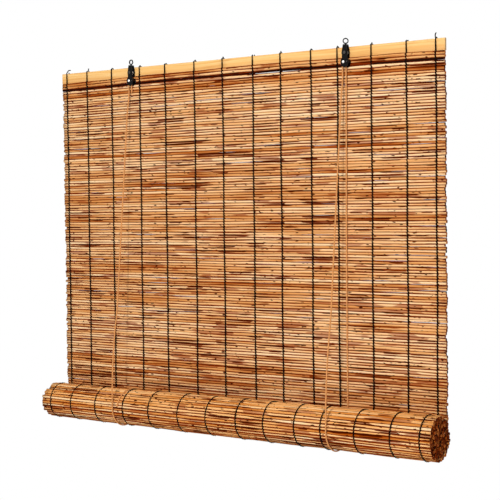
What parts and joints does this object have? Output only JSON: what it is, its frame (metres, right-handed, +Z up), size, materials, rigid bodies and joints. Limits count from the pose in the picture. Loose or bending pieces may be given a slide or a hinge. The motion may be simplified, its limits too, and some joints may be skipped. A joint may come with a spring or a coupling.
{
  "type": "reed roller blind",
  "caption": "Roll-up window blind of reeds woven on black warp cords under a wooden head batten, part rolled, raised by two cords through self-locking pulleys.",
  "frame": {"origin": "midway between the hole centres of the two hanging eyes", "axes": "+X to the right along the batten as seen from the room, +Y to the wall, +Z up"},
  "size_m": [0.906, 0.0917, 0.759],
  "materials": {
    "batten_wood": "planed, unfinished",
    "reed": "natural, dry, streaked",
    "reed_rolled": "natural, dry, streaked",
    "warp_cord": "twisted twine",
    "lift_cord": "braided cord",
    "black_metal": "gloss black",
    "black_nylon": "moulded",
    "dark_steel": "blackened, fluted",
    "bright_steel": "bright"
  },
  "bodies": {
    "blind": {"head_batten": "batten_wood", "reed_mat": "reed", "warp_1": "warp_cord", "warp_2": "warp_cord", "warp_3": "warp_cord", "warp_4": "warp_cord", "warp_5": "warp_cord", "warp_6": "warp_cord", "warp_7": "warp_cord", "warp_8": "warp_cord", "warp_9": "warp_cord", "warp_10": "warp_cord", "warp_11": "warp_cord", "warp_12": "warp_cord", "warp_13": "warp_cord", "warp_14": "warp_cord", "left_case": "black_metal", "left_sheave_rivet": "bright_steel", "left_screw": "bright_steel", "left_spacer": "bright_steel", "left_nut": "bright_steel", "left_cord_back": "lift_cord", "left_cord_front": "lift_cord", "right_case": "black_metal", "right_sheave_rivet": "bright_steel", "right_screw": "bright_steel", "right_spacer": "bright_steel", "right_nut": "bright_steel", "right_cord_back": "lift_cord", "right_cord_front": "lift_cord", "right_pull_cord": "lift_cord"},
    "cradle": {"left_cord_cradle": "lift_cord", "right_cord_cradle": "lift_cord"},
    "roll": {"reed_roll": "reed_rolled", "roll_warp_1": "warp_cord", "roll_warp_2": "warp_cord", "roll_warp_3": "warp_cord", "roll_warp_4": "warp_cord", "roll_warp_5": "warp_cord", "roll_warp_6": "warp_cord", "roll_warp_7": "warp_cord", "roll_warp_8": "warp_cord", "roll_warp_9": "warp_cord", "roll_warp_10": "warp_cord", "roll_warp_11": "warp_cord", "roll_warp_12": "warp_cord", "roll_warp_13": "warp_cord", "roll_warp_14": "warp_cord", "left_cord_end": "lift_cord"},
    "left_eye": {"left_eye": "black_metal"},
    "left_sheave": {"left_sheave": "black_nylon"},
    "left_lock_roller": {"left_lock_roller": "dark_steel"},
    "right_eye": {"right_eye": "black_metal"},
    "right_sheave": {"right_sheave": "black_nylon"},
    "right_lock_roller": {"right_lock_roller": "dark_steel"}
  },
  "joints": [
    {"name": "roll_lift", "type": "slide", "parent": "blind", "child": "cradle", "axis": [0, 0, 1], "range_m": [0, 0.548], "deforming": ["reed_mat", "warp_1", "warp_2", "warp_3", "warp_4", "warp_5", "warp_6", "warp_7", "warp_8", "warp_9", "warp_10", "warp_11", "warp_12", "warp_13", "warp_14", "left_cord_back", "left_cord_front", "right_cord_back", "right_cord_front", "right_pull_cord"]},
    {"name": "roll_spin", "type": "hinge", "parent": "cradle", "child": "roll", "pos_m": [0, -0.0295, -0.70976], "axis": [1, 0, 0], "range_deg": [-720, 0]},
    {"name": "left_eye_swivel", "type": "hinge", "parent": "blind", "child": "left_eye", "pos_m": [-0.254, 0, 0], "axis": [0, 0, 1], "continuous": true},
    {"name": "left_sheave_spin", "type": "hinge", "parent": "blind", "child": "left_sheave", "pos_m": [-0.257, 0, -0.0382], "axis": [0, 1, 0], "continuous": true},
    {"name": "left_lock_slide", "type": "slide", "parent": "blind", "child": "left_lock_roller", "axis": [0.342, 0, 0.9397], "range_m": [0, 0.0024]},
    {"name": "right_eye_swivel", "type": "hinge", "parent": "blind", "child": "right_eye", "pos_m": [0.254, 0, 0], "axis": [0, 0, 1], "continuous": true},
    {"name": "right_sheave_spin", "type": "hinge", "parent": "blind", "child": "right_sheave", "pos_m": [0.251, 0, -0.0382], "axis": [0, 1, 0], "continuous": true},
    {"name": "right_lock_slide", "type": "slide", "parent": "blind", "child": "right_lock_roller", "axis": [0.342, 0, 0.9397], "range_m": [0, 0.0024]}
  ],
  "couplings": [
    {"joint": "roll_spin", "follows": "roll_lift", "rad_per_m": -22.931},
    {"joint": "left_sheave_spin", "follows": "roll_lift", "rad_per_m": 555.56},
    {"joint": "right_sheave_spin", "follows": "roll_lift", "rad_per_m": 555.56}
  ]
}
